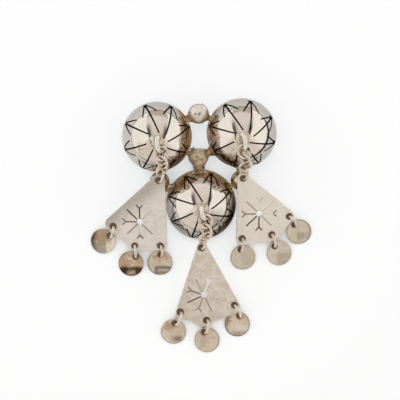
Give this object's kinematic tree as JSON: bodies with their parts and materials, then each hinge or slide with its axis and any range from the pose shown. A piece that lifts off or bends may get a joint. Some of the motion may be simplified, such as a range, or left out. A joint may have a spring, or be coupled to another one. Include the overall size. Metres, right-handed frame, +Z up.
{
  "type": "silver brooch",
  "caption": "Pin brooch of pierced hollow domes soldered together with balls, with chains that carry pierced hanging plates and small round discs.",
  "frame": {"origin": "on the surface that the brooch lies on, under the middle of its outline", "axes": "+Z up from the surface, +Y from the hanging discs to the top ball, +X to the right seen from the front"},
  "size_m": [0.0704, 0.0812, 0.0193],
  "materials": {
    "polished_silver": "polished silver, brown tarnish in the joins",
    "satin_silver": "satin silver, lightly tarnished",
    "toned_silver": "satin silver with warm toning",
    "silver_wire": "bright drawn silver wire"
  },
  "bodies": {
    "root": {"brooch_frame": "polished_silver", "brooch_pin": "silver_wire", "plate_left": "satin_silver", "plate_right": "satin_silver", "plate_middle": "satin_silver", "chain_left_1": "silver_wire", "chain_left_2": "silver_wire", "chain_left_3": "silver_wire", "chain_left_4": "silver_wire", "chain_right_1": "silver_wire", "chain_right_2": "silver_wire", "chain_right_3": "silver_wire", "chain_right_4": "silver_wire", "chain_middle_1": "silver_wire", "chain_middle_2": "silver_wire", "chain_middle_3": "silver_wire", "chain_middle_4": "silver_wire", "disc_left_1": "toned_silver", "disc_left_2": "toned_silver", "disc_left_3": "toned_silver", "disc_right_1": "toned_silver", "disc_right_2": "toned_silver", "disc_right_3": "toned_silver", "disc_middle_1": "toned_silver", "disc_middle_2": "toned_silver", "disc_middle_3": "toned_silver", "disc_ring_left_1": "silver_wire", "disc_ring_left_2": "silver_wire", "disc_ring_left_3": "silver_wire", "disc_ring_right_1": "silver_wire", "disc_ring_right_2": "silver_wire", "disc_ring_right_3": "silver_wire", "disc_ring_middle_1": "silver_wire", "disc_ring_middle_2": "silver_wire", "disc_ring_middle_3": "silver_wire"}
  },
  "joints": []
}
